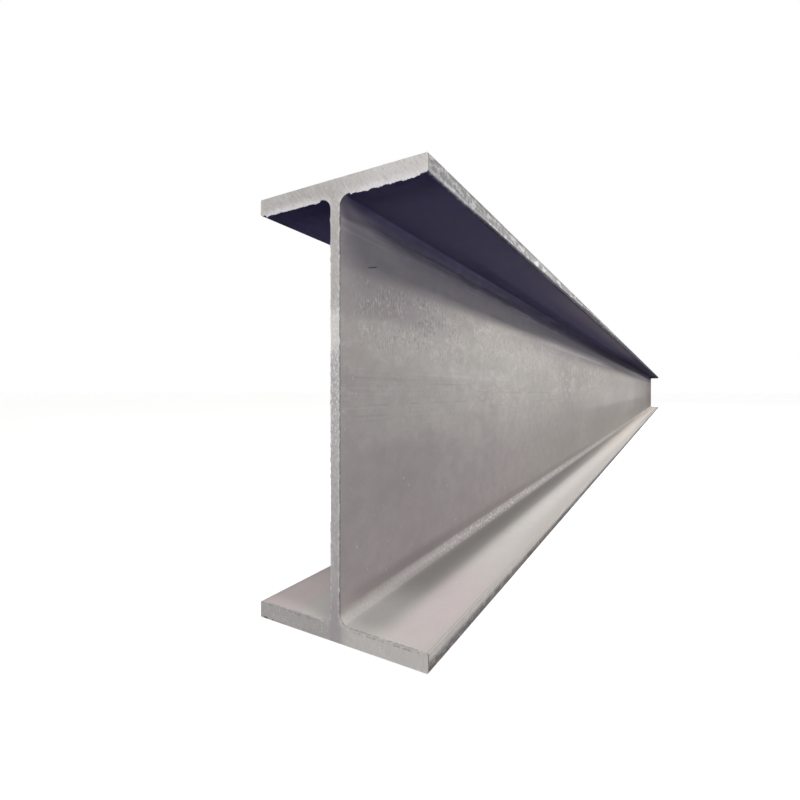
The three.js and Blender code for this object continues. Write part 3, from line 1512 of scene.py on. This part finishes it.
@dataclass
class Studio:
    """A pale floor, soft lamps, a plain background and the camera."""

    low: Vector
    high: Vector
    # The floor is this wide to either side and lies this far under the beam
    floor_half: float = 60.0
    floor_gap: float = 0.5 * MM
    # What the eye sees of the floor and the room: pale paint that glows a little, and white.
    # What the beam gets back from them is dim and faintly violet.
    floor_pale: str = "9C9C9C"
    floor_glow: float = 0.72
    floor_dim: str = "29274D"
    room_dim: str = "A8A0D0"
    room_strength: float = 0.03
    white: tuple[float, float, float, float] = (1.0, 1.0, 1.0, 1.0)
    # The camera stands off the near end by these shares of the beam's depth, turned from the
    # beam's length by so many degrees
    ahead: float = 0.8719
    beside: float = 0.604
    above: float = 0.5414
    yaw: float = 33.99
    # Its focal length, its frame and the middle of its view, in pixels of the frame
    focal_px: float = 492.25
    frame_px: float = 800.0
    centre_px: tuple[float, float] = (340.9, 391.19)
    sensor_mm: float = 36.0
    clip: tuple[float, float] = (0.01, 500.0)

    def build_camera(self) -> None:
        """Places the camera beside the near end, looking along the beam."""
        depth = self.high.z - self.low.z
        data = bpy.data.cameras.new("camera")
        data.sensor_width = self.sensor_mm
        data.lens = self.focal_px / self.frame_px * self.sensor_mm
        data.shift_x = 0.5 - self.centre_px[0] / self.frame_px
        data.shift_y = self.centre_px[1] / self.frame_px - 0.5
        data.clip_start, data.clip_end = self.clip
        camera = bpy.data.objects.new("camera", data)
        camera.location = (
            self.low.x - self.ahead * depth,
            -self.beside * depth,
            self.low.z + self.above * depth,
        )
        turn = math.radians(self.yaw)
        facing = Vector((math.cos(turn), math.sin(turn), 0))
        camera.rotation_euler = facing.to_track_quat("-Z", "Y").to_euler()
        bpy.context.scene.collection.objects.link(camera)
        bpy.context.scene.camera = camera

    @staticmethod
    def seen_or_felt(
        tree: bpy.types.NodeTree, felt: bpy.types.Node, seen: bpy.types.Node
    ) -> Socket:
        """Mixes what lights the beam with what the eye sees straight, in metal or through glass.

        Args:
            tree: the node tree that gets the nodes.
            felt: the shader whose light falls on the beam.
            seen: the shader that the eye sees.

        Returns:
            The mixed shader's socket.
        """
        path = add_node(tree, "ShaderNodeLightPath").outputs
        direct = path["Is Camera Ray"]
        for kind in ("Is Glossy Ray", "Is Transmission Ray"):
            pair = {0: direct, 1: path[kind]}
            direct = add_node(tree, "ShaderNodeMath", pair, operation="MAXIMUM").outputs[0]
        shaders = {0: direct, 1: felt.outputs[0], 2: seen.outputs[0]}
        return add_node(tree, "ShaderNodeMixShader", shaders).outputs[0]

    def build_world(self) -> None:
        """Makes a white background over a dim, faintly violet room."""
        world = bpy.data.worlds.new("studio")
        bpy.context.scene.world = world
        world.use_nodes = True
        tree = world.node_tree
        tree.nodes.clear()
        dim = {"Color": linear(self.room_dim), "Strength": self.room_strength}
        room = add_node(tree, "ShaderNodeBackground", dim)
        white = add_node(tree, "ShaderNodeBackground", {"Color": self.white, "Strength": 1.0})
        mixed = self.seen_or_felt(tree, room, white)
        add_node(tree, "ShaderNodeOutputWorld", {"Surface": mixed})

    def build_floor(self) -> None:
        """Lays a plain pale floor that keeps the beam's shadow and bounces little light up."""
        half = self.floor_half
        corners = [(-half, -half, 0), (half, -half, 0), (half, half, 0), (-half, half, 0)]
        mesh = bpy.data.meshes.new("floor")
        mesh.from_pydata(corners, [], [(0, 1, 2, 3)])
        material = bpy.data.materials.new("pale_floor")
        material.use_nodes = True
        tree = material.node_tree
        tree.nodes.clear()
        dim = add_node(tree, "ShaderNodeBsdfDiffuse", {"Color": linear(self.floor_dim)})
        pale = add_node(tree, "ShaderNodeBsdfDiffuse", {"Color": linear(self.floor_pale)})
        glow = {"Color": self.white, "Strength": self.floor_glow}
        glow = add_node(tree, "ShaderNodeEmission", glow)
        lit = add_node(tree, "ShaderNodeAddShader", {0: pale.outputs[0], 1: glow.outputs[0]})
        mixed = self.seen_or_felt(tree, dim, lit)
        add_node(tree, "ShaderNodeOutputMaterial", {"Surface": mixed})
        mesh.materials.append(material)
        floor = bpy.data.objects.new("floor", mesh)
        floor.location.z = self.low.z - self.floor_gap
        bpy.context.scene.collection.objects.link(floor)

    def build(self) -> None:
        """Builds the whole studio."""
        self.build_camera()
        self.build_world()
        self.build_floor()
        aim = (self.low + self.high) / 2
        for soft_box in SOFT_BOXES:
            soft_box.build(self.low.x, aim)
        for sun in SUNS:
            sun.build()
        bpy.context.scene.view_settings.view_transform = "Standard"


def clear_room() -> None:
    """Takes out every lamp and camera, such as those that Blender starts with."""
    for thing in list(bpy.data.objects):
        if thing.type in {"LIGHT", "CAMERA"}:
            bpy.data.objects.remove(thing)


def main() -> None:
    """Builds the beam and the studio in order, and reports each piece."""
    logging.basicConfig(level=logging.INFO, format="%(name)s: %(message)s")
    clear_room()
    low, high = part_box(NODE)
    beam = RolledBeam(low, high)
    piece = beam.build()
    LOG.info("%s: %d faces", piece.name, len(piece.data.polygons))
    studio = Studio(low, high)
    studio.build()
    LOG.info("studio: floor, lamps and camera")


if __name__ == "__main__":
    main()
